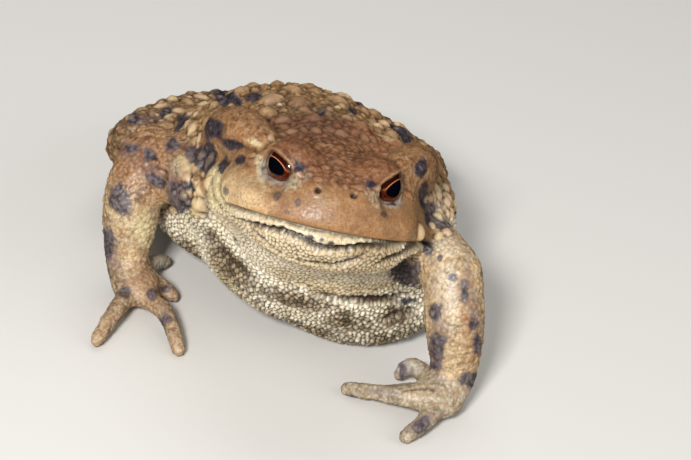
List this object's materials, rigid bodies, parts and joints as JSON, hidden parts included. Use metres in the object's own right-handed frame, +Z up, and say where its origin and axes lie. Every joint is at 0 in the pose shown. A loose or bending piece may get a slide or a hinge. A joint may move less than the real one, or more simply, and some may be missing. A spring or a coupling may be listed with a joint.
{
  "type": "toad model",
  "caption": "Still life-size model of an Eichwald's toad, squatting with its head raised, its belly on the floor and its hands planted before it.",
  "frame": {"origin": "on the floor, under the middle of the model's box", "axes": "+Z up, the toad faces -Y, and its left side is at +X"},
  "size_m": [0.0762, 0.1078, 0.0487],
  "materials": {
    "skin_head": "moist warty skin, red-brown on top and tan on the jaw",
    "skin_body": "moist warty skin, brown above and cream below, with dark blotches",
    "skin_limbs": "moist granular skin, tan with dark blotches",
    "skin_hands": "moist smooth skin, greyish cream",
    "eye": "wet and glossy, copper iris round a dark lying pupil"
  },
  "bodies": {
    "root": {"head": "skin_head", "torso": "skin_body", "eye_left": "eye", "eye_right": "eye", "upper_arm_left": "skin_limbs", "upper_arm_right": "skin_limbs", "forearm_left": "skin_limbs", "forearm_right": "skin_limbs", "hand_left": "skin_hands", "hand_right": "skin_hands", "thigh_left": "skin_limbs", "thigh_right": "skin_limbs", "shank_left": "skin_limbs", "shank_right": "skin_limbs", "foot_left": "skin_hands", "foot_right": "skin_hands"}
  },
  "joints": []
}
